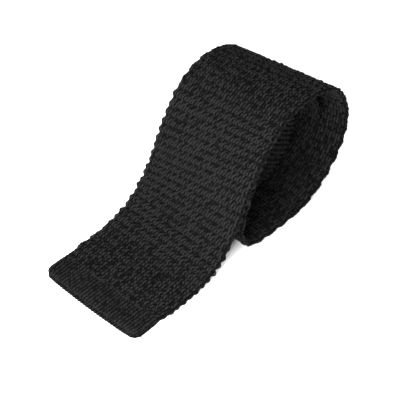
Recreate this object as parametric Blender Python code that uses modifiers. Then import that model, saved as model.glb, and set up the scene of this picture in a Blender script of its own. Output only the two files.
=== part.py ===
"""Rolled knitted necktie: a square-ended knit strap wound into a loose roll, with its front end laid out flat.

The strap is one ribbon that follows a centre line in the Y-Z plane: from the ribbed hem at -Y, along the
table, up the front of the roll, over the top, down the back, and then inwards turn by turn until the tail
ends in the middle. X is the roll's axis and the strap's width. The table is z = 0 and the origin lies on it,
under the middle of the whole object. Lengths are millimetres until MM turns them into metres.
"""
import math

import bmesh
import bpy
import numpy as np
from mathutils import Vector

MM = 0.001

# --- driving dimensions -------------------------------------------------------------------------------
BLADE_WIDTH = 60.0        # the wide front blade
HEM_WIDTH = 57.4          # the ribbed hem draws the end in a little
NECK_WIDTH = 35.0         # the narrow neck band and tail
BLADE_THICK = 2.8         # flattened knit tube, two layers
NECK_THICK = 1.6          # the finer knit of the neck and tail
HEM_THICK = 3.6           # turned up, so it is thicker than the blade
HEM_LENGTH = 12.6
HEM_CORNER = 3.2          # radius of the hem's two free corners
HEM_SOFTEN = 0.8          # rounding of the hem's upper rim
HEM_DRAWS_IN = 10.0       # behind the hem, the blade widens to full width over this length
GAP = 0.3                 # left between pieces that touch

# The laid-out end and the two outer turns, as (y, z) of the strap's middle. The knit is limp, so this is a
# freehand curve: flat on the table, up the front, over the top, down the back, and once more inside.
LAY = (
    (-106.0, 1.4), (-93.0, 1.4), (-80.0, 1.4), (-66.0, 2.2), (-51.5, 8.2), (-40.0, 22.0), (-32.5, 36.5),
    (-25.5, 48.0), (-17.5, 57.6), (-8.0, 63.4), (3.0, 65.2), (16.0, 62.4), (26.6, 53.4), (31.4, 38.5),
    (27.8, 22.6), (16.0, 8.4), (2.0, 1.6), (-14.0, 1.4), (-30.0, 4.0), (-36.5, 13.4), (-34.6, 24.0),
    (-30.0, 34.0), (-24.2, 43.8), (-16.0, 52.6), (-4.0, 57.8), (9.0, 57.0), (20.0, 50.0), (25.8, 38.0),
    (24.8, 24.6), (10.8, 9.2),
)
CORE_CENTRE = (-1.5, 30.3)  # (y, z) of the middle of the wound core
CORE_LONG = 26.3            # its first turn is an ellipse, squeezed between the front and the back of the roll
CORE_SHORT = 23.0
CORE_LEAN = 30.0            # degrees from straight down to the ellipse's long axis
CORE_PITCH = 1.92           # one turn to the next, along the short axis
CORE_INNER = 4.0            # the winding stops when its short radius is down to this
ROLL_BACK = 35.0            # y of the back of the roll, from which the origin's place is worked out
POINTS_PER_SPAN = 10        # centre-line samples between two points of LAY
STATIONS_PER_TURN = 24      # facets of each turn of the core
FACET_LONGEST = 9.0         # facets of the two outer turns: long where the strap runs straight,
FACET_SHORTEST = 2.0        # short where it bends, and longest below this bend in radians
FACET_PER_BEND = 0.7
BEND_LEAST = 0.05
BEND_REACH = 3.0            # the bend is read over this far each way, and the direction over the next
DIRECTION_REACH = 0.5
END_CLEARANCE = 0.6         # no facet is shorter than this at a piece's ends

# The roll is a little looser at its +X end: heights and depths grow by these shares across one blade width.
TAPER_Z = 0.068
TAPER_Y = 0.117
TAPER_Y_ABOUT = -6.0
TAPER_FROM = 36.0          # arc length at which the taper in Y begins
TAPER_OVER = 48.0

# Where the strap changes, as arc length from the hem's free edge.
FOLD_AT = (22.0, 42.0, 62.0)     # the three fold lines of the laid-out end
TURN_1_END = 262.0
TURN_2_END = 425.0
NARROW_FROM = 272.0              # the blade narrows to the neck over this stretch
NARROW_TO = 470.0
NECK_SHIFT = -9.5                # the narrow windings sit towards the -X end
SEAM_AT = 905.0                  # the join at the back of the neck
SEAM_LENGTH = 5.0
TAIL_FROM = 1120.0
TAIL_HEM_LENGTH = 12.0
KEEPER_AT = 137.0                # the keeper loop, sewn to the back of the blade
KEEPER_LENGTH = 13.0
KEEPER_SPAN = 38.0
KEEPER_THICK = 0.7
TACK_WIDTH = 2.6                 # the bar tacks at the keeper's two ends, across the strap
TACK_LENGTH = 11.0
TACK_THICK = 0.9


def smooth_step(value):
    """Rise from 0 to 1 with flat ends."""
    clipped = np.clip(value, 0.0, 1.0)
    return clipped * clipped * (3.0 - 2.0 * clipped)


def freehand(points, per_span):
    """A Catmull-Rom curve through the points, ends included."""
    given = np.array(points, dtype=float)
    padded = np.vstack([2 * given[0] - given[1], given, 2 * given[-1] - given[-2]])
    samples = []
    for before, start, end, after in zip(padded[:-3], padded[1:-2], padded[2:-1], padded[3:]):
        for step in range(per_span):
            t = step / per_span
            bend = 2 * before - 5 * start + 4 * end - after
            turn = 3 * start - before - 3 * end + after
            samples.append(0.5 * (2 * start + (end - before) * t + bend * t ** 2 + turn * t ** 3))
    return samples


def wound_core():
    """The core's winding: an ellipse that shrinks turn by turn, from the bottom of its first turn inwards."""
    turns = (CORE_SHORT - CORE_INNER) / CORE_PITCH
    samples = []
    for step in range(int(turns * STATIONS_PER_TURN) + 1):
        wound = step / STATIONS_PER_TURN
        angle = 2 * math.pi * wound
        lean = angle - math.radians(CORE_LEAN)
        radius = CORE_LONG * CORE_SHORT / math.hypot(CORE_SHORT * math.cos(lean), CORE_LONG * math.sin(lean))
        radius *= 1.0 - wound * CORE_PITCH / CORE_SHORT
        samples.append(np.array([
            CORE_CENTRE[0] - radius * math.sin(angle),
            CORE_CENTRE[1] - radius * math.cos(angle),
        ]))
    return samples


CORE = wound_core()
LINE = np.array(freehand(LAY + (tuple(CORE[0]),), POINTS_PER_SPAN) + CORE)
LINE[:, 1] = np.maximum(LINE[:, 1], BLADE_THICK / 2)      # nothing sinks into the table
MIDDLE_Y = (LAY[0][0] + ROLL_BACK) / 2                    # halfway between the hem's edge and the roll's back
ARC = np.concatenate([[0.0], np.cumsum(np.hypot(*np.diff(LINE, axis=0).T))])
STRAP_LENGTH = float(ARC[-1])
CORE_START = float(ARC[len(LAY) * POINTS_PER_SPAN])


def centre(arc):
    """(y, z) of the strap's middle at an arc length."""
    return np.array([np.interp(arc, ARC, LINE[:, 0]), np.interp(arc, ARC, LINE[:, 1])])


def direction(arc):
    """Unit vector along the strap in the Y-Z plane."""
    step = centre(min(arc + DIRECTION_REACH, STRAP_LENGTH)) - centre(max(arc - DIRECTION_REACH, 0.0))
    return step / np.hypot(*step)


def thickness(arc):
    """The strap thins as the blade runs into the neck."""
    share = smooth_step((arc - NARROW_FROM) / (NARROW_TO - NARROW_FROM))
    return BLADE_THICK + (NECK_THICK - BLADE_THICK) * float(share)


def edges(arc):
    """The strap's two selvedges, as x."""
    share = float(smooth_step((arc - NARROW_FROM) / (NARROW_TO - NARROW_FROM)))
    width = BLADE_WIDTH + (NECK_WIDTH - BLADE_WIDTH) * share
    drawn_in = 1.0 - float(smooth_step((arc - HEM_LENGTH) / HEM_DRAWS_IN))
    width -= (BLADE_WIDTH - HEM_WIDTH) * drawn_in
    return NECK_SHIFT * share - width / 2, NECK_SHIFT * share + width / 2


def place(x, flat, arc):
    """A point of the roll in metres, with the looser +X end worked in and the origin moved to the middle."""
    across = x / BLADE_WIDTH
    ramp = float(smooth_step((arc - TAPER_FROM) / TAPER_OVER))
    y = flat[0] + (flat[0] - TAPER_Y_ABOUT) * TAPER_Y * across * ramp
    low = BLADE_THICK / 2
    z = low + (flat[1] - low) * (1.0 + TAPER_Z * across)
    return Vector((x, y - MIDDLE_Y, z)) * MM


# --- materials ----------------------------------------------------------------------------------------
def cloth(name, shade, roughness):
    """A plain yarn-coloured Principled material."""
    material = bpy.data.materials.new(name)
    material.use_nodes = True
    shader = material.node_tree.nodes["Principled BSDF"]
    shader.inputs["Base Color"].default_value = (shade, shade, shade, 1.0)
    shader.inputs["Roughness"].default_value = roughness
    shader.inputs["Metallic"].default_value = 0.0
    return material


# --- pieces -------------------------------------------------------------------------------------------
def finish(name, mesh, material, origin):
    """Put a mesh in the necktie's collection, with its own origin."""
    if origin is not None:
        for vertex in mesh.vertices:
            vertex.co -= origin
    piece = bpy.data.objects.new(name, mesh)
    piece.data.materials.append(material)
    if origin is not None:
        piece.location = origin
    COLLECTION.objects.link(piece)
    return piece


def stations(start, end):
    """Arc lengths to put cross-sections at: the centre line's own samples, and the two ends."""
    inside = [arc for arc in ARC if start + END_CLEARANCE < arc < end - END_CLEARANCE]
    kept = [start]
    for arc in inside:
        if arc < CORE_START and arc - kept[-1] < spacing(arc):
            continue
        kept.append(float(arc))
    kept.append(end)
    return kept


def spacing(arc):
    """Straight stretches take long facets and bends take short ones."""
    cosine = float(direction(arc - BEND_REACH) @ direction(arc + BEND_REACH))
    bend = math.acos(max(-1.0, min(1.0, cosine)))
    return max(FACET_SHORTEST, min(FACET_LONGEST, FACET_PER_BEND / max(bend, BEND_LEAST)))


def ribbon(name, start, end, material, thick=None, span=edges, lift=0.0, origin=None):
    """A length of strap: an open sheet along the centre line, given its thickness by Solidify.

    The span gives the sheet's left and right x at an arc length. A lifted sheet lies that far off the strap's
    middle, on the roll's inner side.
    """
    body = bmesh.new()
    weights = body.verts.layers.deform.verify()
    rows = []
    for arc in stations(start, end):
        along = direction(arc)
        inward = np.array([along[1], -along[0]])
        flat = centre(arc) + inward * lift
        row = [body.verts.new(place(x, flat, arc)) for x in span(arc)]
        for vertex in row:
            vertex[weights][0] = (thick or thickness(arc)) / BLADE_THICK
        rows.append(row)
    for near, far in zip(rows[:-1], rows[1:]):
        body.faces.new((near[0], near[1], far[1], far[0]))
    mesh = bpy.data.meshes.new(name)
    body.to_mesh(mesh)
    body.free()
    piece = finish(name, mesh, material, origin)
    piece.vertex_groups.new(name="thickness")
    shell = piece.modifiers.new("thickness", "SOLIDIFY")
    shell.thickness = BLADE_THICK * MM
    shell.vertex_group = "thickness"
    shell.offset = 0.0
    shell.use_even_offset = True
    return piece


def keeper_pieces():
    """The keeper loop across the blade's back, and the bar of stitches at each of its ends."""
    half = KEEPER_LENGTH / 2
    under = BLADE_THICK / 2 + GAP
    ribbon("keeper_loop", KEEPER_AT - half, KEEPER_AT + half, TAPE, thick=KEEPER_THICK,
           span=lambda arc: (-KEEPER_SPAN / 2, KEEPER_SPAN / 2), lift=under + KEEPER_THICK / 2)
    near = KEEPER_SPAN / 2 + GAP
    far = near + TACK_WIDTH
    half = TACK_LENGTH / 2
    for name, ends in (("keeper_tack_left", (-far, -near)), ("keeper_tack_right", (near, far))):
        ribbon(name, KEEPER_AT - half, KEEPER_AT + half, THREAD, thick=TACK_THICK,
               span=lambda arc, ends=ends: ends, lift=under + TACK_THICK / 2)


def fold_line(arc):
    """Where the strap hinges: on its upper face, so that a lifted end closes on nothing."""
    along = direction(arc)
    upward = np.array([-along[1], along[0]])
    return place(0.0, centre(arc) + upward * BLADE_THICK / 2, arc)


def hem_plate(name, material, origin):
    """The ribbed hem band: a flat plate with its two free corners rounded and its edges softened."""
    body = bmesh.new()
    bmesh.ops.create_cube(body, size=1.0)
    first = LAY[0][0] - MIDDLE_Y
    for vertex in body.verts:
        vertex.co.x *= HEM_WIDTH * MM
        vertex.co.y = (first + (vertex.co.y + 0.5) * (HEM_LENGTH - GAP)) * MM
        vertex.co.z = (vertex.co.z + 0.5) * HEM_THICK * MM
    free = [edge for edge in body.edges
            if abs(edge.verts[0].co.z - edge.verts[1].co.z) > 0.5 * HEM_THICK * MM
            and edge.verts[0].co.y < (first + 1.0) * MM]
    bmesh.ops.bevel(body, geom=free, offset=HEM_CORNER * MM, segments=5, profile=0.5, affect="EDGES")
    rims = [edge for edge in body.edges
            if abs(edge.verts[0].co.z - edge.verts[1].co.z) < 0.1 * MM
            and edge.verts[0].co.z > 0.5 * HEM_THICK * MM]
    bmesh.ops.bevel(body, geom=rims, offset=HEM_SOFTEN * MM, segments=2, profile=0.5, affect="EDGES")
    mesh = bpy.data.meshes.new(name)
    body.to_mesh(mesh)
    body.free()
    return finish(name, mesh, material, origin)


# --- the necktie --------------------------------------------------------------------------------------
for old in list(bpy.data.objects):
    bpy.data.objects.remove(old, do_unlink=True)

COLLECTION = bpy.data.collections.new("necktie")
bpy.context.scene.collection.children.link(COLLECTION)

KNIT = cloth("knit_yarn", 0.020, 0.9)
RIB = cloth("rib_yarn", 0.024, 0.9)
FINE = cloth("fine_knit_yarn", 0.018, 0.9)
TAPE = cloth("keeper_tape", 0.015, 0.6)
THREAD = cloth("sewing_thread", 0.018, 0.55)

FOLDS = [fold_line(arc) for arc in FOLD_AT]
HALF = GAP / 2

hem_plate("hem_front", RIB, FOLDS[0])
ribbon("blade_end", HEM_LENGTH, FOLD_AT[0] - HALF, KNIT, origin=FOLDS[0])
ribbon("blade_mid", FOLD_AT[0] + HALF, FOLD_AT[1] - HALF, KNIT, origin=FOLDS[1])
ribbon("blade_foot", FOLD_AT[1] + HALF, FOLD_AT[2] - HALF, KNIT, origin=FOLDS[2])
ribbon("blade_turn_1", FOLD_AT[2] + HALF, TURN_1_END - HALF, KNIT)
ribbon("blade_turn_2", TURN_1_END + HALF, TURN_2_END - HALF, KNIT)
ribbon("neck_front", TURN_2_END + HALF, SEAM_AT - HALF, FINE)
ribbon("neck_seam", SEAM_AT + HALF, SEAM_AT + SEAM_LENGTH, THREAD)
ribbon("neck_rear", SEAM_AT + SEAM_LENGTH + GAP, TAIL_FROM - HALF, FINE)
ribbon("tail_blade", TAIL_FROM + HALF, STRAP_LENGTH - TAIL_HEM_LENGTH - HALF, FINE)
ribbon("hem_tail", STRAP_LENGTH - TAIL_HEM_LENGTH + HALF, STRAP_LENGTH, RIB)
keeper_pieces()
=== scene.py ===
"""Rolled knitted necktie: the visual model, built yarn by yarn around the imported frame."""
import math

import bpy
import numpy as np
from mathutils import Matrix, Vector


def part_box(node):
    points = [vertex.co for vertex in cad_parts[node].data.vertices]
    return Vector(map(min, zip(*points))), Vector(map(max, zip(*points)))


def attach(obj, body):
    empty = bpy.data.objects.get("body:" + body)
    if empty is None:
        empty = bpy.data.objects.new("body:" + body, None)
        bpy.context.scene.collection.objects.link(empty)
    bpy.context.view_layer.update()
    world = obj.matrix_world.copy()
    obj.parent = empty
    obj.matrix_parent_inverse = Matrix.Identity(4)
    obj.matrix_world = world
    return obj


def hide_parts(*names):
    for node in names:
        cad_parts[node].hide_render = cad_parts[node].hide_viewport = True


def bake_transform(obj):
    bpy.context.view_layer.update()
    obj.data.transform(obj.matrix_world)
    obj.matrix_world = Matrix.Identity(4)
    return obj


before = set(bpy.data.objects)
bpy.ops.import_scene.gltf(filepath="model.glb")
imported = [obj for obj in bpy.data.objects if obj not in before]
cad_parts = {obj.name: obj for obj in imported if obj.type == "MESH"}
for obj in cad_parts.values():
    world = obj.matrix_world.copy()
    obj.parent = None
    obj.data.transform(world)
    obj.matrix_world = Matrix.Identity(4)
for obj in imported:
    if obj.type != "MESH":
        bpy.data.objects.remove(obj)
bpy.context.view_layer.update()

bl_info = {
    "name": "Knitted necktie",
    "version": (1, 0, 0),
    "blender": (4, 5, 0),
    "location": "3D View > Sidebar > Necktie",
    "description": "Knits a square-ended tie, stitch by stitch, along the strap of a rolled necktie",
    "category": "Object",
}

MM = 0.001

# --- the strap's course, in millimetres: the same route as the solid model's --------------------------
# The middle of the strap as (y, z), from the hem's free edge: flat on the table, up the front of the roll,
# over the top, down the back, and once more inside.
LAY = (
    (-106.0, 1.4), (-93.0, 1.4), (-80.0, 1.4), (-66.0, 2.2), (-51.5, 8.2), (-40.0, 22.0), (-32.5, 36.5),
    (-25.5, 48.0), (-17.5, 57.6), (-8.0, 63.4), (3.0, 65.2), (16.0, 62.4), (26.6, 53.4), (31.4, 38.5),
    (27.8, 22.6), (16.0, 8.4), (2.0, 1.6), (-14.0, 1.4), (-30.0, 4.0), (-36.5, 13.4), (-34.6, 24.0),
    (-30.0, 34.0), (-24.2, 43.8), (-16.0, 52.6), (-4.0, 57.8), (9.0, 57.0), (20.0, 50.0), (25.8, 38.0),
    (24.8, 24.6), (10.8, 9.2),
)
CORE_CENTRE = (-1.5, 30.3)
CORE_LONG = 26.3
CORE_SHORT = 23.0
CORE_LEAN = 30.0
CORE_PITCH = 1.92
CORE_INNER = 4.0
MIDDLE_Y = -35.5                 # y of the frame's origin in the numbers above
SAMPLES_PER_SPAN = 24
SAMPLES_PER_TURN = 96
TAPER_Z = 0.068                  # the roll is looser at its +X end
TAPER_Y = 0.117
TAPER_Y_ABOUT = -6.0
TAPER_FROM = 36.0
TAPER_OVER = 48.0

BLADE_WIDTH = 60.0
HEM_WIDTH = 57.4
NECK_WIDTH = 35.0
BLADE_THICK = 2.8
NECK_THICK = 1.6
HEM_THICK = 3.6
HEM_LENGTH = 12.6
HEM_DRAWS_IN = 10.0             # behind the hem, the blade widens to full width over this length
NARROW_FROM = 272.0
NARROW_TO = 470.0
NECK_SHIFT = -9.5
TURN_1_END = 262.0
TURN_2_END = 425.0
SEAM_AT = 905.0
SEAM_LENGTH = 5.0
TAIL_FROM = 1120.0
TAIL_HEM_LENGTH = 12.0
KEEPER_AT = 137.0
KEEPER_LENGTH = 13.0
KEEPER_SPAN = 38.0
KEEPER_THICK = 0.7
GAP = 0.3
LOWEST = 0.05                    # nothing of the strap's middle surface lies lower over the table


def smooth_step(value):
    """Rise from 0 to 1 with flat ends."""
    clipped = np.clip(value, 0.0, 1.0)
    return clipped * clipped * (3.0 - 2.0 * clipped)


def freehand(points, per_span):
    """A Catmull-Rom curve through the points, last one left out."""
    given = np.array(points, dtype=float)
    padded = np.vstack([2 * given[0] - given[1], given, 2 * given[-1] - given[-2]])
    samples = []
    for before, start, end, after in zip(padded[:-3], padded[1:-2], padded[2:-1], padded[3:]):
        for step in range(per_span):
            t = step / per_span
            bend = 2 * before - 5 * start + 4 * end - after
            turn = 3 * start - before - 3 * end + after
            samples.append(0.5 * (2 * start + (end - before) * t + bend * t ** 2 + turn * t ** 3))
    return np.array(samples)


def wound_core():
    """The core's winding: an ellipse that shrinks turn by turn."""
    turns = (CORE_SHORT - CORE_INNER) / CORE_PITCH
    wound = np.arange(int(turns * SAMPLES_PER_TURN) + 1) / SAMPLES_PER_TURN
    angle = 2 * math.pi * wound
    lean = angle - math.radians(CORE_LEAN)
    radius = CORE_LONG * CORE_SHORT / np.hypot(CORE_SHORT * np.cos(lean), CORE_LONG * np.sin(lean))
    radius *= 1.0 - wound * CORE_PITCH / CORE_SHORT
    return np.stack([CORE_CENTRE[0] - radius * np.sin(angle), CORE_CENTRE[1] - radius * np.cos(angle)], -1)


class Strap:
    """The strap's middle line, and the way from strap to space."""

    def __init__(self):
        core = wound_core()
        outer = freehand(LAY + (tuple(core[0]),), SAMPLES_PER_SPAN)
        line = np.vstack([outer, core])
        line[:, 1] = np.maximum(line[:, 1], BLADE_THICK / 2)
        self.line = line
        self.arc = np.concatenate([[0.0], np.cumsum(np.hypot(*np.diff(line, axis=0).T))])
        self.length = float(self.arc[-1])
        along = np.gradient(line, self.arc, axis=0)
        along /= np.linalg.norm(along, axis=1)[:, None]
        self.along = along

    def width(self, arc):
        """The strap's width at an arc length."""
        share = smooth_step((arc - NARROW_FROM) / (NARROW_TO - NARROW_FROM))
        drawn_in = 1.0 - smooth_step((arc - HEM_LENGTH) / HEM_DRAWS_IN)
        return BLADE_WIDTH + (NECK_WIDTH - BLADE_WIDTH) * share - (BLADE_WIDTH - HEM_WIDTH) * drawn_in

    def shift(self, arc):
        """How far the strap's middle lies to the side."""
        return NECK_SHIFT * smooth_step((arc - NARROW_FROM) / (NARROW_TO - NARROW_FROM))

    def thickness(self, arc):
        """The flattened tube's thickness."""
        share = smooth_step((arc - NARROW_FROM) / (NARROW_TO - NARROW_FROM))
        return BLADE_THICK + (NECK_THICK - BLADE_THICK) * share

    def place(self, across, arc, off):
        """Points in metres, from distances across, along and off the strap's middle, all in millimetres."""
        y = np.interp(arc, self.arc, self.line[:, 0])
        z = np.interp(arc, self.arc, self.line[:, 1])
        along_y = np.interp(arc, self.arc, self.along[:, 0])
        along_z = np.interp(arc, self.arc, self.along[:, 1])
        before = np.minimum(arc, 0.0)
        beyond = np.maximum(arc - self.length, 0.0)
        y = y - along_z * off + along_y * (before + beyond)
        z = z + along_y * off + along_z * (before + beyond)
        share = across / BLADE_WIDTH
        ramp = smooth_step((arc - TAPER_FROM) / TAPER_OVER)
        y = y + (y - TAPER_Y_ABOUT) * TAPER_Y * share * ramp
        low = BLADE_THICK / 2
        z = low + (z - low) * (1.0 + TAPER_Z * share)
        return np.stack([across, y - MIDDLE_Y, np.maximum(z, LOWEST)], -1) * MM


STRAP = Strap()


# --- small helpers ------------------------------------------------------------------------------------
def linear(code):
    """An sRGB hex colour as linear RGBA."""
    channels = [int(code[i:i + 2], 16) / 255 for i in (1, 3, 5)]
    return tuple(c / 12.92 if c <= 0.04045 else ((c + 0.055) / 1.055) ** 2.4 for c in channels) + (1.0,)


def add_node(tree, kind, settings=None, inputs=None):
    """Add a node with its settings; an input is a value or another node's output."""
    node = tree.nodes.new(kind)
    for name, value in (settings or {}).items():
        setattr(node, name, value)
    for name, value in (inputs or {}).items():
        if isinstance(value, bpy.types.NodeSocket):
            tree.links.new(value, node.inputs[name])
        else:
            node.inputs[name].default_value = value
    return node


def make_mesh(name, points, quads, maps=None, values=None):
    """A smooth mesh object from arrays: points in metres, quads, UV maps and per-point values by name."""
    mesh = bpy.data.meshes.new(name)
    mesh.vertices.add(len(points))
    mesh.vertices.foreach_set("co", points.astype(np.float32).ravel())
    mesh.loops.add(quads.size)
    mesh.loops.foreach_set("vertex_index", quads.astype(np.int32).ravel())
    mesh.polygons.add(len(quads))
    mesh.polygons.foreach_set("loop_start", np.arange(0, quads.size, 4, dtype=np.int32))
    for map_name, per_point in (maps or {}).items():
        layer = mesh.uv_layers.new(name=map_name)
        layer.data.foreach_set("uv", per_point[quads.ravel()].astype(np.float32).ravel())
    for value_name, per_point in (values or {}).items():
        layer = mesh.attributes.new(value_name, "FLOAT", "POINT")
        layer.data.foreach_set("value", per_point.astype(np.float32))
    mesh.update(calc_edges=True)
    mesh.validate()
    mesh.polygons.foreach_set("use_smooth", np.ones(len(mesh.polygons), dtype=bool))
    piece = bpy.data.objects.new(name, mesh)
    bpy.context.scene.collection.objects.link(piece)
    return piece


# --- yarn and pattern, in millimetres unless a comment says otherwise ---------------------------------
PLIES = 2
PLY_TWIST = 1.3                 # one turn of the plies, along the yarn
PLY_DEPTH = 0.07
DYE_PATCH = 12.0
FIBRE_CLUMP = 1.1               # real fibres are 0.02 mm: drawn as coarse as the clumps that show
PATCH_SHARE = 0.3               # how much the dye's patches, and the fibres, add to a stitch's painted shade,
FIBRE_SHARE = 3.2
DARK_AT = 1.95                  # and the sums at which the yarn is darkest and lightest
LIGHT_AT = 2.8
TAPE_RIB = 0.6
TABLE_CLEARANCE = 0.03

ROW = 4.0                       # one row of the pattern is two courses
COURSE_AT = (1.0, 2.97)         # where its two courses lie
BLADE_WALES = 36                # columns of stitches across the blade
WALE = BLADE_WIDTH / BLADE_WALES
RIDGE_WHEN_FLAT = 0.1           # where the cloth lies flat its rows hardly arch, and they do where it rises
RIDGE_FROM = 36.0
RIDGE_TO = 112.0
RIDGE_OVER = 14.0
TWILL = 0.42                    # and there each stitch leans to the right by this much of its height
SKEW = 10.0                     # up the slope the rows run this much out of square, from edge to edge
SKEW_FROM = 46.0
SKEW_OVER = 84.0
ROW_SHADE = 0.8                 # the dips between rows hold less light, for each millimetre of depth
HELD_LEAN = 1.3                 # a held loop's legs lean out this many times as far
SLACK_ALONG = 0.10              # how unevenly the legs lie, along the strap
SLACK_ACROSS = 0.035            # and across it, in wales
TONE_UNEVEN = 0.25              # no two stitches take the light alike
TONE_POWER = 1.5                # how quickly the light falls off with depth
TONE_MOST = 1.4

SELVEDGE = 3.5                  # the scallops reach this far in from the edge
SCALLOP_DRIFT = 0.9             # no two scallops are quite alike
SCALLOP_IN = 0.7                # the share of a scallop's depth that lies inside the blade's edge
CLOSE_SCALLOPS_TO = 176.6       # arc length up to which the right selvedge has one in every row
CORNER_REACH = 9.0              # the hem's corners draw in the stitches this far from the side

HEM_CORNER = 4.6
HEM_FOLD = 1.72                 # thickness of each of the hem's two folds
HEM_WALES = 34
HEM_COURSE = 1.35
HEM_EDGE_PROUD = 1.15           # the cast-on edge stands up as a ridge
HEM_STEP_BEFORE = 3.0           # the step down from hem to blade starts this far before the hem's end
HEM_STEP_OVER = 6.0
STRAY_END_RADIUS = 0.22

BAND_POINTS = 28                # points around a band of the core
BAND_SWELL = 0.34               # the core's bands fill the gaps between turns, so no light comes through
BEAD_ROOT = 1.0                 # a band's sides lie this far in between two beads,
BEAD_SIZE = 1.2                 # and a bead stands this far out from there
SECOND_TURN_PIECES = 8
TACK_STITCHES = 9
TACK_THREAD_RADIUS = 0.2
TACK_INSET = 1.2                # the first and last stitch of a tack lie this far from the tape's ends

# The blade's lengths of knitting: name, start and end, the bodies it rides on, fold line, and solids shown.
BLADE_LENGTHS = (
    ("knit_end", 12.6, 32.6, ("end", "middle"), 22.0, ("blade_end",)),
    ("knit_middle", 32.6, 52.6, ("middle", "foot"), 42.0, ("blade_mid",)),
    ("knit_foot", 52.6, 84.6, ("foot", "roll"), 62.0, ("blade_foot",)),
    ("knit_rise", 84.6, 132.6, "roll", None, ("blade_turn_1",)),
    ("knit_crown", 132.6, 176.6, "roll", None, ("blade_turn_1",)),
    ("knit_back", 176.6, 220.6, "roll", None, ("blade_turn_1",)),
    ("knit_under", 220.6, 264.6, "roll", None, ("blade_turn_1",)),
)

BLADE_YARN = "worsted wool and silk yarn"
NECK_YARN = "fine worsted yarn"
INSIDE = "shaded inside of the knit"

# --- stage, in metres ---------------------------------------------------------------------------------
FLOOR_SIZE = 6.0
KEY_AT = (0.11, -0.30, 0.20)
KEY_TARGET = (0.0, 0.0, 0.03)
KEY_SIZE = 0.2
CAMERA_AZIMUTH = math.radians(42.9)
CAMERA_ELEVATION = math.radians(44.0)
CAMERA_TARGET = Vector((-0.01056, 0.01222, 0.0))
CAMERA_DISTANCE = 0.6186
LENS = 117.6
SENSOR = 36.0


def sweep_yarns(name, paths, normals, radius, sides, shade_and_tone):
    """Tubes along many paths of equal length: an array of courses by samples by xyz, with surface normals.

    Each path comes back to its start, where the tube's two ends meet. The UV map holds millimetres along the
    yarn and turns around it.
    """
    courses, samples = paths.shape[:2]
    steps = np.diff(paths, axis=1)
    ahead = np.concatenate([steps, steps[:, :1]], axis=1)
    behind = np.concatenate([steps[:, -1:], steps], axis=1)
    along = ahead + behind
    along /= np.maximum(np.linalg.norm(along, axis=2, keepdims=True), 1e-12)
    side = np.cross(along, normals)
    side /= np.maximum(np.linalg.norm(side, axis=2, keepdims=True), 1e-12)
    up = np.cross(side, along)
    turn = 2 * math.pi * np.arange(sides) / sides
    ring = (up[:, :, None] * np.cos(turn)[None, None, :, None]
            + side[:, :, None] * np.sin(turn)[None, None, :, None])
    points = paths[:, :, None] + ring * radius * MM
    points[..., 2] = np.maximum(points[..., 2], TABLE_CLEARANCE * MM)
    travelled = np.cumsum(np.linalg.norm(steps, axis=2), axis=1)
    length = np.concatenate([np.zeros((courses, 1)), travelled], axis=1)
    uv = np.stack(np.broadcast_arrays(length[:, :, None] / MM, (np.arange(sides) / sides)[None, None, :]), -1)
    values = np.broadcast_to(shade_and_tone[:, :, None], points.shape[:3])
    course = np.arange(courses)[:, None, None] * samples * sides
    at = np.arange(samples - 1)[None, :, None] * sides
    corner = np.arange(sides)[None, None, :]
    following = (corner + 1) % sides
    quads = np.stack(np.broadcast_arrays(
        course + at + corner, course + at + sides + corner,
        course + at + sides + following, course + at + following), -1)
    return make_mesh(name, points.reshape(-1, 3), quads.reshape(-1, 4),
                     {"yarn": uv.reshape(-1, 2)}, {"shade_and_tone": values.reshape(-1)})


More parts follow.
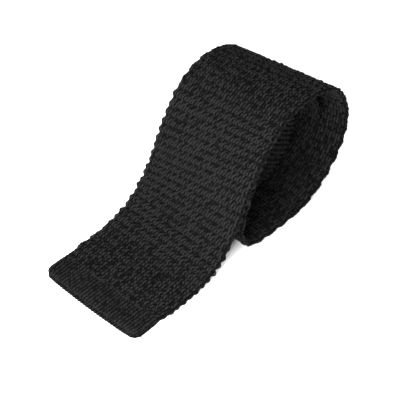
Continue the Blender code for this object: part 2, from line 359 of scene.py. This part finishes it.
# --- materials ----------------------------------------------------------------------------------------
def spun_yarn(name, hollow_shade, raised, fuzz):
    """Worsted-spun wool and silk, piece-dyed: matt, with a broken highlight on each ply and a soft bloom.

    The colour is painted darker in the hollows between the stitches and lighter on the yarn that stands up,
    as painted shade that follows the stitch's height, with uneven take-up of the dye from patch to patch
    and fibre to fibre.
    """
    material = bpy.data.materials.new(name)
    material.use_nodes = True
    tree = material.node_tree
    shader = tree.nodes["Principled BSDF"]
    shade_and_tone = add_node(tree, "ShaderNodeAttribute", {"attribute_name": "shade_and_tone"})
    place = add_node(tree, "ShaderNodeTexCoord")
    patch = add_node(tree, "ShaderNodeTexNoise", None,
                     {"Vector": place.outputs["Object"], "Scale": 1 / (DYE_PATCH * MM), "Detail": 2.0})
    fibre = add_node(tree, "ShaderNodeTexNoise", None,
                     {"Vector": place.outputs["Object"], "Scale": 1 / (FIBRE_CLUMP * MM), "Detail": 3.0})
    height = add_node(tree, "ShaderNodeMath", {"operation": "MULTIPLY_ADD"},
                      {0: patch.outputs["Fac"], 1: PATCH_SHARE, 2: shade_and_tone.outputs["Fac"]})
    speckle = add_node(tree, "ShaderNodeMath", {"operation": "MULTIPLY_ADD"},
                       {0: fibre.outputs["Fac"], 1: FIBRE_SHARE, 2: height.outputs[0]})
    share = add_node(tree, "ShaderNodeMapRange", None,
                     {"Value": speckle.outputs[0], "From Min": DARK_AT, "From Max": LIGHT_AT})
    # painted shade: the base colour goes from the dark hollow colour to the raised yarn's with the stitch's
    # height
    colour = add_node(tree, "ShaderNodeMix", {"data_type": "RGBA"}, {"Factor": share.outputs[0]})
    colour.inputs[6].default_value = hollow_shade
    colour.inputs[7].default_value = raised
    tree.links.new(colour.outputs[2], shader.inputs["Base Color"])
    along = add_node(tree, "ShaderNodeUVMap", {"uv_map": "yarn"})
    split = add_node(tree, "ShaderNodeSeparateXYZ", None, {0: along.outputs[0]})
    twist = add_node(tree, "ShaderNodeMath", {"operation": "MULTIPLY"},
                     {0: split.outputs["X"], 1: 2 * math.pi / PLY_TWIST})
    around = add_node(tree, "ShaderNodeMath", {"operation": "MULTIPLY_ADD"},
                      {0: split.outputs["Y"], 1: 2 * math.pi * PLIES, 2: twist.outputs[0]})
    ply = add_node(tree, "ShaderNodeMath", {"operation": "SINE"}, {0: around.outputs[0]})
    relief = add_node(tree, "ShaderNodeMath", {"operation": "MULTIPLY_ADD"},
                      {0: fibre.outputs["Fac"], 1: 1.2, 2: ply.outputs[0]})
    bump = add_node(tree, "ShaderNodeBump", None,
                    {"Height": relief.outputs[0], "Distance": PLY_DEPTH * MM, "Strength": 1.0})
    tree.links.new(bump.outputs[0], shader.inputs["Normal"])
    shader.inputs["Roughness"].default_value = 0.62
    shader.inputs["Specular IOR Level"].default_value = 0.03
    shader.inputs["Sheen Weight"].default_value = fuzz
    shader.inputs["Sheen Roughness"].default_value = 0.4
    return material


def grosgrain(name, colour):
    """Woven rayon grosgrain tape: fine ribs across it, with a low silky sheen."""
    material = bpy.data.materials.new(name)
    material.use_nodes = True
    tree = material.node_tree
    shader = tree.nodes["Principled BSDF"]
    place = add_node(tree, "ShaderNodeTexCoord")
    ribs_per_turn = 1 / (TAPE_RIB * MM * 2 * math.pi)
    rib = add_node(tree, "ShaderNodeTexWave", {"bands_direction": "X"},
                   {"Vector": place.outputs["Object"], "Scale": ribs_per_turn, "Distortion": 0.4})
    bump = add_node(tree, "ShaderNodeBump", None, {"Height": rib.outputs["Fac"], "Distance": 0.08 * MM})
    tree.links.new(bump.outputs[0], shader.inputs["Normal"])
    shader.inputs["Base Color"].default_value = linear(colour)
    shader.inputs["Roughness"].default_value = 0.5
    shader.inputs["Sheen Weight"].default_value = 0.2
    return material


def shaded_inside(name, colour):
    """Painted shade inside the flattened knit tube: the same wool, seen only as the dark between the
    stitches.
    """
    material = bpy.data.materials.new(name)
    material.use_nodes = True
    tree = material.node_tree
    shader = tree.nodes["Principled BSDF"]
    place = add_node(tree, "ShaderNodeTexCoord")
    fibre = add_node(tree, "ShaderNodeTexNoise", None,
                     {"Vector": place.outputs["Object"], "Scale": 1 / (FIBRE_CLUMP * MM)})
    bump = add_node(tree, "ShaderNodeBump", None, {"Height": fibre.outputs["Fac"], "Distance": 0.2 * MM})
    tree.links.new(bump.outputs[0], shader.inputs["Normal"])
    shader.inputs["Base Color"].default_value = colour
    shader.inputs["Roughness"].default_value = 0.95
    shader.inputs["Specular IOR Level"].default_value = 0.1
    return material


def paper_sweep(name, colour):
    """Matt white paper: smooth, with no gloss."""
    material = bpy.data.materials.new(name)
    material.use_nodes = True
    shader = material.node_tree.nodes["Principled BSDF"]
    shader.inputs["Base Color"].default_value = colour
    shader.inputs["Roughness"].default_value = 0.9
    shader.inputs["Specular IOR Level"].default_value = 0.2
    return material


# --- knitting -----------------------------------------------------------------------------------------
class Stitch:
    """The shape of a stitch, in millimetres, and in shares of a wale sideways."""

    def __init__(self, radius, half, lean, gather, legs, held=0.0, tuck=0.0, reach=0.0, uneven=0.1, edge=0.0,
                 ridge=0.0, bow=0.0):
        self.radius = radius      # of the yarn
        self.half = half          # half a plain loop's height
        self.lean = lean          # a loop's legs lean out towards its head
        self.gather = gather      # and draw together in the middle
        self.legs = legs          # how far legs stand up, in the row's first and second course
        self.held = held          # the same for a held loop
        self.tuck = tuck          # and for the strand tucked behind it
        self.reach = reach        # a held loop is this much longer
        self.uneven = uneven
        self.edge = edge          # depth of the selvedge's scallops
        self.ridge = ridge        # each row arches up this much, as a low rib across the cloth
        self.bow = bow            # the free edge bows out this much in its middle


MOSS = Stitch(radius=0.31, half=1.2, lean=0.09, gather=0.115, legs=(0.70, 0.78), held=0.9, tuck=0.3,
              reach=1.4, uneven=0.2, edge=0.85, ridge=0.42)
RIB = Stitch(radius=0.29, half=1.0, lean=0.0, gather=0.18, legs=(0.6, 0.6), uneven=0.08, bow=0.9)


def flattened(wale, wales, half, width):
    """Where a wale lies on the flattened tube: across, off, and the outward normal's two parts.

    The front layer has a number of wales, each rounded selvedge has one, and the back layer as many again.
    """
    straight = (width - 2 * half) / 2
    front = wale / wales * 2 - 1
    back = 1 - (wale - wales - 1) / wales * 2
    right = math.pi * (wale - wales)
    left = math.pi * (wale - 2 * wales - 1)
    where = [wale <= wales, wale <= wales + 1, wale <= 2 * wales + 1]
    across = np.select(where, [straight * front, straight, straight * back], -straight)
    normal_across = np.select(where, [0 * wale, np.sin(right), 0 * wale], -np.sin(left))
    normal_off = np.select(where, [1 + 0 * wale, np.cos(right), -1 + 0 * wale], -np.cos(left))
    return across + half * normal_across, half * normal_off, normal_across, normal_off


def knit(name, course_at, rows, wales, stitch, form, fine=10, coarse=6, sides=5, seed=1, proud=None):
    """Knit a length of flattened tube: one strand a course, all the way round.

    The form gives, for lengths of knitting: the arc length, the tube's half thickness and width, the tilt
    of its surface, which is a right angle except on a closed end, and how far the tube lies off the strap's
    middle.
    """
    around = 2 * wales + 2
    wale = np.concatenate([np.arange(wales * fine) / fine, wales + np.arange(fine) / fine,
                           wales + 1 + np.arange(wales * coarse) / coarse,
                           2 * wales + 1 + np.arange(fine + 1) / fine])[None, :]
    index = np.floor(wale).astype(int) % around
    within = wale - np.floor(wale) - 0.5
    course = np.arange(len(course_at))[:, None]
    second = course % 2
    selvedge = (index == wales) | (index == 2 * wales + 1)
    chosen = ((index + rows[:, None]) % 2 == 0) & (stitch.reach > 0) & ~selvedge
    held = chosen & (second == 0)
    tuck = chosen & (second == 1)
    jitter = np.random.default_rng(seed).normal(0.0, 1.0, (4, len(course_at), around))[:, course, index]
    wave = np.cos(2 * math.pi * within)
    leg = (1 - np.cos(4 * math.pi * within)) / 2
    along = wave * (stitch.half + np.where(held & (wave > 0), stitch.reach, 0.0))
    along = along + SLACK_ALONG * jitter[1] * leg
    lean = stitch.lean * np.where(held, HELD_LEAN, 1.0) * np.sin(4 * math.pi * within)
    gather = stitch.gather * np.sin(2 * math.pi * within)
    stands = np.select([held, tuck, selvedge], [stitch.held, stitch.tuck, stitch.legs[0] / 2],
                       np.where(second == 0, *stitch.legs))
    raised = leg * stands * (1 + stitch.uneven * jitter[0]) * (1 if proud is None else proud[:, None])
    strand_wale = (wale + lean - gather + SLACK_ACROSS * jitter[2] * leg) % around
    arc, half, width, tilt, lift = form(course_at[:, None] + along)
    across, off, normal_across, normal_off = flattened(strand_wale, wales, half, width)
    arched = stitch.ridge * row_arch(arc)
    across = across + TWILL * along * on_slope(arc) * (1 - np.clip(np.abs(2 * across / width), 0.0, 1.0) ** 6)
    arc = arc - stitch.bow * (1 - (2 * across / width) ** 2) * smooth_step(1 - arc / HEM_LENGTH)
    arc = arc + SKEW * across / BLADE_WIDTH * skewing(arc)
    out = raised - stitch.legs[0] / 2 + arched
    near_corner = smooth_step(1 - (width / 2 - np.abs(across)) / CORNER_REACH)
    across = across - np.sign(across) * corner_cut(arc) * near_corner
    near_edge = smooth_step(1 - (width / 2 - np.abs(across)) / SELVEDGE)
    across = across + np.sign(across) * near_edge * stitch.edge * scallop(arc, across > 0)
    flat = np.sin(tilt)

    def at(depth):
        return STRAP.place(across + normal_across * depth * flat + STRAP.shift(arc),
                           arc - np.cos(tilt) * depth, off + normal_off * depth * flat + lift)

    paths = at(out)
    normals = paths - at(out - 1.0)
    normals /= np.linalg.norm(normals, axis=2, keepdims=True)
    # painted shade: yarn that stands up is painted lighter and the dips between rows darker, with a random
    # tone per stitch
    lit = np.clip(raised / stitch.legs[0], 0, TONE_MOST) ** TONE_POWER
    shade_and_tone = lit + TONE_UNEVEN * jitter[3] + ROW_SHADE * arched
    return sweep_yarns(name, paths, normals, stitch.radius, sides, shade_and_tone)


def on_slope(arc):
    """1 up the slope, and 0 where the strap lies flat and over the crown."""
    return smooth_step((arc - RIDGE_FROM) / RIDGE_OVER) * (1 - smooth_step((arc - RIDGE_TO) / RIDGE_OVER))


def skewing(arc):
    """The share of the rows' skew at an arc length, none at either end of the slope and all in its middle."""
    return np.sin(math.pi * np.clip((arc - SKEW_FROM) / SKEW_OVER, 0.0, 1.0)) ** 2


def row_arch(arc):
    """The rows' arching, -1 in the narrow dips and 1 on top: full up the slope, flat over the crown."""
    dip = (1 - np.cos(2 * math.pi * (arc - HEM_LENGTH - COURSE_AT[0]) / ROW)) / 2
    return (RIDGE_WHEN_FLAT + (1 - RIDGE_WHEN_FLAT) * on_slope(arc)) * (1 - 2 * dip ** 2)


def corner_cut(arc):
    """How far the hem's rounded corners take its sides in."""
    left = np.clip(HEM_CORNER - arc, 0.0, HEM_CORNER)
    return HEM_CORNER - np.sqrt(HEM_CORNER ** 2 - left ** 2)


def scallop(arc, right):
    """The selvedge's bulge at an arc length, as a share of its depth: up to 0.3 out and 0.7 in.

    It comes once in two rows, out of step side to side, but on the front's right side once in every row.
    """
    every_row = math.pi * (arc - HEM_LENGTH - COURSE_AT[0]) / ROW
    every_other = math.pi * (arc - np.where(right, ROW, 0.0)) / (2 * ROW)
    apart = np.where(right, smooth_step((arc - CLOSE_SCALLOPS_TO) / ROW), 1.0)
    bulge = (1 - apart) * np.abs(np.cos(every_row)) + apart * np.abs(np.cos(every_other))
    return bulge * (0.8 + 0.2 * np.sin(SCALLOP_DRIFT * arc)) - SCALLOP_IN


def hem_step(arc):
    """The hem is thicker than the blade and lies on the same table, so its middle is higher."""
    past_the_hem = smooth_step((arc - HEM_LENGTH + HEM_STEP_BEFORE) / HEM_STEP_OVER)
    return (HEM_THICK - BLADE_THICK) / 2 * (1 - past_the_hem)


def blade_form(arc):
    """The plain flattened tube."""
    half = (STRAP.thickness(arc) - 2 * MOSS.radius - MOSS.legs[0]) / 2
    lift = hem_step(arc)
    return arc, np.maximum(half, 0.15) + lift, STRAP.width(arc) - 2 * MOSS.radius, math.pi / 2 + 0 * arc, lift


def hem_form(middle, bow):
    """One fold of the hem: a flattened tube with a closed round end, its middle at a height off the table."""
    def form(length):
        radius = HEM_FOLD / 2 - RIB.radius - RIB.legs[0] / 2
        turned = np.clip(-length / radius, 0.0, math.pi / 2)
        arc = HEM_FOLD / 2 + np.maximum(length, 0.0) - radius * np.sin(turned)
        level = smooth_step((arc - HEM_LENGTH + 5.0) / 6.0)
        lift = middle - BLADE_THICK / 2 - max(middle - BLADE_THICK / 2, 0.0) * 0.3 * level
        width = STRAP.width(arc) - 2 * RIB.radius
        return arc - bow, radius * np.cos(turned) + 0 * arc, width, math.pi / 2 - turned, lift
    return form


def strip(name, start, end, half, inset, lift=None, edge=0.0, step=0.8):
    """A thin closed strip along the strap, its edges scalloped to a depth."""
    count = int((end - start) / step)
    arcs = np.linspace(start, end, count)
    half_width = STRAP.width(arcs) / 2 - inset - corner_cut(arcs)
    middle = hem_step(arcs) if lift is None else lift
    corners = []
    for side, face in ((-1, 1), (1, 1), (1, -1), (-1, -1)):
        across = side * (half_width + edge * scallop(arcs, side > 0))
        corners.append(STRAP.place(across + STRAP.shift(arcs), arcs, face * half + middle))
    points = np.stack(corners, 1)
    at = np.arange(count - 1)[:, None] * 4
    corner = np.arange(4)[None]
    following = (corner + 1) % 4
    quads = np.stack(np.broadcast_arrays(at + corner, at + 4 + corner, at + 4 + following,
                                         at + following), -1)
    last = 4 * count - 4
    ends = np.array([[0, 1, 2, 3], [last + 3, last + 2, last + 1, last]])
    return make_mesh(name, points.reshape(-1, 3), np.vstack([quads.reshape(-1, 4), ends]))


def fine_band(name, start, end, pitch=2.6, step=0.4, relief=0.5):
    """A closed band of the finer knit, with a bead for each stitch of its selvedges."""
    arcs = np.arange(start, end, step)
    half = STRAP.thickness(arcs)[:, None] / 2
    half_width = STRAP.width(arcs)[:, None] / 2
    turn = 2 * math.pi * (np.arange(BAND_POINTS) + 0.5) / BAND_POINTS
    side = np.sign(np.cos(turn)) * np.abs(np.cos(turn)) ** 0.35
    face = np.sign(np.sin(turn)) * np.abs(np.sin(turn)) ** 0.6
    bead = np.abs(np.sin(math.pi * arcs / pitch))[:, None]
    uneven = np.random.default_rng(7).normal(0.0, 1.0, (len(arcs), BAND_POINTS))
    across = side * (half_width - BEAD_ROOT + BEAD_SIZE * bead) + 0.05 * uneven
    off = face * (half + BAND_SWELL - relief * np.abs(side) ** 3 * (1 - bead * (0.9 + 0.1 * uneven)))
    points = STRAP.place(across + STRAP.shift(arcs)[:, None], arcs[:, None] + 0 * across, off)
    at = np.arange(len(arcs) - 1)[:, None] * BAND_POINTS
    corner = np.arange(BAND_POINTS)[None]
    following = (corner + 1) % BAND_POINTS
    quads = np.stack(np.broadcast_arrays(at + corner, at + following, at + BAND_POINTS + following,
                                         at + BAND_POINTS + corner), -1).reshape(-1, 4)
    pairs = np.arange(BAND_POINTS // 2 - 1)
    cap = np.stack([pairs, pairs + 1, BAND_POINTS - 2 - pairs, BAND_POINTS - 1 - pairs], -1)
    last = (len(arcs) - 1) * BAND_POINTS
    quads = np.vstack([quads, cap[:, ::-1], cap + last])
    uv = np.stack([arcs[:, None] + 0 * across, face[None, :] * 0.5 + 0 * across], -1)
    # painted shade: each bead of the selvedge is painted lighter and the yarn between beads darker, with a
    # random tone
    shade_and_tone = np.broadcast_to(bead + 0.2 * uneven, across.shape)
    return make_mesh(name, points.reshape(-1, 3), quads, {"yarn": uv.reshape(-1, 2)},
                     {"shade_and_tone": shade_and_tone.reshape(-1)})


def thread(name, points, radius):
    """A short end or stitch of thread: a tube along a smooth run of points in millimetres."""
    run = np.array(freehand(points + (points[-1],), 8)) * MM
    curve = bpy.data.curves.new(name, "CURVE")
    curve.dimensions = "3D"
    curve.bevel_depth = radius * MM
    curve.bevel_resolution = 3
    curve.use_fill_caps = True
    spline = curve.splines.new("POLY")
    spline.points.add(len(run) - 1)
    spline.points.foreach_set("co", np.hstack([run, np.ones((len(run), 1))]).astype(np.float32).ravel())
    piece = bpy.data.objects.new(name, curve)
    bpy.context.scene.collection.objects.link(piece)
    return piece


def courses_between(start, end):
    """Arc lengths of the courses in a stretch, with the number of the row that each is in."""
    rows = np.arange(math.ceil((start - HEM_LENGTH) / ROW - 0.01), math.ceil((end - HEM_LENGTH) / ROW - 0.01))
    at = (HEM_LENGTH + ROW * rows[:, None] + np.array(COURSE_AT)).ravel()
    return at, np.repeat(rows, 2)


def settle(piece, material, bodies, fold=None):
    """Give a piece its finish and let it move with one body; a piece with a fold line is only baked where it
    lies.
    """
    piece.data.materials.append(material)
    if fold is None:
        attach(piece, bodies)
    else:
        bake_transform(piece)


# --- what a user can change ---------------------------------------------------------------------------
class NecktieLook(bpy.types.PropertyGroup):
    """Yarn, light and finish of the necktie."""

    # the dark end of the yarn's painted shade, deep between the stitches, and the painted shade inside the
    # tube
    hollow_shade: bpy.props.FloatVectorProperty(
        name="Yarn in the hollows", description="Colour deep between the stitches", subtype="COLOR", size=4,
        min=0.0, max=1.0, default=linear("#020202"))
    raised: bpy.props.FloatVectorProperty(
        name="Raised yarn", description="Colour of the yarn that stands up", subtype="COLOR", size=4,
        min=0.0, max=1.0, default=linear("#1c1c1c"))
    fuzz: bpy.props.FloatProperty(
        name="Fuzz", description="Bloom of loose fibres at grazing angles", subtype="FACTOR",
        min=0.0, max=1.0, default=0.02)
    floor: bpy.props.FloatVectorProperty(
        name="Floor", description="Colour of the paper sweep", subtype="COLOR", size=4,
        min=0.0, max=1.0, default=linear("#fafafa"))
    key_power: bpy.props.FloatProperty(
        name="Key light", description="Power of the soft box in front", unit="POWER", min=0.0, default=4.2)
    sky: bpy.props.FloatProperty(
        name="Sky", description="Strength of the white room all round", min=0.0, default=1.5)


class NECKTIE_OT_knit_blade(bpy.types.Operator):
    """Knit the blade's laid-out end and its first turn around the roll."""

    bl_idname = "necktie.knit_blade"
    bl_label = "Knit the blade"

    def execute(self, context):
        wool, inside = yarns(context)
        for number, (name, start, end, bodies, fold, nodes) in enumerate(BLADE_LENGTHS):
            at, rows = courses_between(start, end)
            piece = knit(name, at, rows, BLADE_WALES, MOSS, blade_form, seed=number)
            # a dark sheet inside the tube, painted shade that shows between the stitches
            shade_sheet = strip(name + "_lining", start, end, 0.35, 0.55, edge=MOSS.edge)
            settle(piece, wool, bodies, fold)
            settle(shade_sheet, inside, bodies, fold)
            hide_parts(*nodes)
        return {"FINISHED"}


class NECKTIE_OT_knit_second_turn(bpy.types.Operator):
    """Knit the second turn, where the blade narrows inside the roll."""

    bl_idname = "necktie.knit_second_turn"
    bl_label = "Knit the second turn"

    def execute(self, context):
        wool, inside = yarns(context)
        stretches = np.linspace(TURN_1_END + 2.6, TURN_2_END, SECOND_TURN_PIECES + 1)
        for number, (start, end) in enumerate(zip(stretches[:-1], stretches[1:])):
            at, rows = courses_between(start, end)
            width = float(STRAP.width((start + end) / 2))
            wales = int(round(width / WALE))
            name = "knit_inner_%d" % (number + 1)
            piece = knit(name, at, rows, wales, MOSS, blade_form, fine=7, coarse=7, sides=4, seed=20 + number)
            # a dark sheet inside the tube, painted shade that shows between the stitches
            shade_sheet = strip(name + "_lining", start, end, 0.3, 0.55, edge=MOSS.edge)
            settle(piece, wool, "roll")
            settle(shade_sheet, inside, "roll")
            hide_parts("blade_turn_2")
        return {"FINISHED"}


class NECKTIE_OT_knit_hem(bpy.types.Operator):
    """Knit the ribbed hem: two folds, one on the other, with a stray end of yarn at its corner."""

    bl_idname = "necktie.knit_hem"
    bl_label = "Knit the hem"

    def execute(self, context):
        wool, inside = yarns(context)
        for number, (name, middle, bow, proud) in enumerate((
                ("hem_upper_fold", HEM_THICK - HEM_FOLD / 2, -0.9, HEM_EDGE_PROUD),
                ("hem_lower_fold", HEM_FOLD / 2, 0.2, 1.0))):
            at = np.arange(-0.2, HEM_LENGTH - 0.2, HEM_COURSE)
            stands = np.where(at < HEM_COURSE * 1.2, proud, 1.0)
            piece = knit(name, at, np.zeros(len(at), int), HEM_WALES, RIB, hem_form(middle, bow),
                         seed=50 + number, proud=stands)
            # a dark sheet inside the tube, painted shade that shows between the stitches
            shade_sheet = strip(name + "_lining", 0.5 - bow, HEM_LENGTH, 0.12, 0.9, lift=middle - BLADE_THICK / 2)
            settle(piece, wool, "end")
            settle(shade_sheet, inside, "end")
            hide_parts("hem_front")
        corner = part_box("hem_front")[1][0] / MM
        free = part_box("hem_front")[0][1] / MM
        end = thread("hem_yarn_end", ((corner - 1.5, free + 4.0, 1.6), (corner - 0.2, free + 3.2, 1.9),
                                      (corner + 0.9, free + 2.9, 1.4), (corner + 1.3, free + 3.4, 0.8)),
                     STRAY_END_RADIUS)
        settle(end, wool, "end")
        return {"FINISHED"}


class NECKTIE_OT_wind_core(bpy.types.Operator):
    """Wind the neck band and the tail into the middle of the roll."""

    bl_idname = "necktie.wind_core"
    bl_label = "Wind the core"

    def execute(self, context):
        wool, _ = yarns(context)
        fine = fine_yarn(context)
        length = STRAP.length
        seam = fine_band("neck_seam_band", SEAM_AT, SEAM_AT + SEAM_LENGTH)
        settle(seam, fine, "roll")
        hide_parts("neck_seam")
        for name, start, end, slot, material in (
                ("neck_front", TURN_2_END + GAP, SEAM_AT, "fine_knit", fine),
                ("neck_rear", SEAM_AT + SEAM_LENGTH, TAIL_FROM, "fine_knit", fine),
                ("tail_blade", TAIL_FROM, length - TAIL_HEM_LENGTH, "fine_knit", fine),
                ("hem_tail", length - TAIL_HEM_LENGTH, length, "rib_knit", wool)):
            band = fine_band(name + "_band", start, end)
            settle(band, material, "roll")
            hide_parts(name)
        return {"FINISHED"}


class NECKTIE_OT_sew_keeper(bpy.types.Operator):
    """Sew the keeper loop of tape across the back of the blade."""

    bl_idname = "necktie.sew_keeper"
    bl_label = "Sew the keeper"

    def execute(self, context):
        tape = grosgrain("rayon grosgrain tape", "#161618")
        thread_finish = fine_yarn(context)
        under = BLADE_THICK / 2 + GAP + KEEPER_THICK / 2
        start, end = KEEPER_AT - KEEPER_LENGTH / 2, KEEPER_AT + KEEPER_LENGTH / 2
        inset = (BLADE_WIDTH - KEEPER_SPAN) / 2
        loop = strip("keeper_tape", start, end, KEEPER_THICK / 2, inset, lift=-under, step=1.0)
        settle(loop, tape, "roll")
        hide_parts("keeper_loop")
        for side, node in ((-1, "keeper_tack_left"), (1, "keeper_tack_right")):
            for number in range(TACK_STITCHES):
                arc = start + TACK_INSET + number * (KEEPER_LENGTH - 2 * TACK_INSET) / (TACK_STITCHES - 1)
                run = [STRAP.place(side * (KEEPER_SPAN / 2 + reach), arc, -under + sink) / MM
                       for reach, sink in ((-0.6, 0.1), (-0.2, -0.45), (1.2, -0.5), (2.6, -0.35), (3.0, 0.4))]
                bar = thread("%s_stitch_%d" % (node, number + 1), tuple(tuple(point) for point in run),
                             TACK_THREAD_RADIUS)
                settle(bar, thread_finish, "roll")
                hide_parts(node)
        return {"FINISHED"}


class NECKTIE_OT_set_stage(bpy.types.Operator):
    """Set the floor, the soft light and the camera."""

    bl_idname = "necktie.set_stage"
    bl_label = "Set the stage"

    def execute(self, context):
        look = context.scene.necktie
        bpy.ops.mesh.primitive_plane_add(size=FLOOR_SIZE)
        floor = context.active_object
        floor.name = "floor"
        floor.data.materials.append(paper_sweep("matt white paper", look.floor))
        world = bpy.data.worlds.new("white room")
        context.scene.world = world
        world.use_nodes = True
        world.node_tree.nodes["Background"].inputs["Color"].default_value = (1.0, 1.0, 1.0, 1.0)
        world.node_tree.nodes["Background"].inputs["Strength"].default_value = look.sky
        box = bpy.data.lights.new("soft box", "AREA")
        box.energy = look.key_power
        box.size = KEY_SIZE
        aim(box, KEY_AT, KEY_TARGET)
        lens = bpy.data.cameras.new("camera")
        lens.lens = LENS
        lens.sensor_width = SENSOR
        lens.clip_start = 0.01
        away = Vector((math.sin(CAMERA_AZIMUTH) * math.cos(CAMERA_ELEVATION),
                       -math.cos(CAMERA_AZIMUTH) * math.cos(CAMERA_ELEVATION), math.sin(CAMERA_ELEVATION)))
        context.scene.camera = aim(lens, CAMERA_TARGET + away * CAMERA_DISTANCE, CAMERA_TARGET)
        context.scene.view_settings.view_transform = "Standard"
        return {"FINISHED"}


def aim(data, place, target):
    """Put a light or a camera in the scene, pointing at a target."""
    thing = bpy.data.objects.new(data.name, data)
    bpy.context.scene.collection.objects.link(thing)
    thing.location = place
    thing.rotation_euler = (Vector(target) - Vector(place)).to_track_quat("-Z", "Y").to_euler()
    return thing


def yarns(context):
    """The blade's yarn and the painted-shade inside of the knit, made once."""
    look = context.scene.necktie
    wool = bpy.data.materials.get(BLADE_YARN) or spun_yarn(BLADE_YARN, look.hollow_shade, look.raised, look.fuzz)
    inside = bpy.data.materials.get(INSIDE) or shaded_inside(INSIDE, look.hollow_shade)
    return wool, inside


def fine_yarn(context):
    """The neck band's finer yarn, made once."""
    look = context.scene.necktie
    return bpy.data.materials.get(NECK_YARN) or spun_yarn(NECK_YARN, look.hollow_shade, look.raised, look.fuzz)


class NECKTIE_PT_making(bpy.types.Panel):
    """The necktie's pieces, in the order that they are made."""

    bl_label = "Necktie"
    bl_space_type = "VIEW_3D"
    bl_region_type = "UI"
    bl_category = "Necktie"

    def draw(self, context):
        look = context.scene.necktie
        for name in look.bl_rna.properties.keys():
            if name not in {"rna_type", "name"}:
                self.layout.prop(look, name)
        for operator in OPERATORS:
            self.layout.operator(operator.bl_idname)


OPERATORS = (NECKTIE_OT_set_stage, NECKTIE_OT_knit_blade, NECKTIE_OT_knit_second_turn, NECKTIE_OT_knit_hem,
             NECKTIE_OT_wind_core, NECKTIE_OT_sew_keeper)
CLASSES = (NecktieLook,) + OPERATORS + (NECKTIE_PT_making,)


def register():
    """Add the necktie's settings, operators and panel."""
    for cls in CLASSES:
        bpy.utils.register_class(cls)
    bpy.types.Scene.necktie = bpy.props.PointerProperty(type=NecktieLook)


def unregister():
    """Take them away again."""
    del bpy.types.Scene.necktie
    for cls in reversed(CLASSES):
        bpy.utils.unregister_class(cls)


def main():
    """Make the necktie piece by piece."""
    register()
    for operator in OPERATORS:
        group, action = operator.bl_idname.split(".")
        getattr(getattr(bpy.ops, group), action)()


if __name__ == "__main__":
    main()
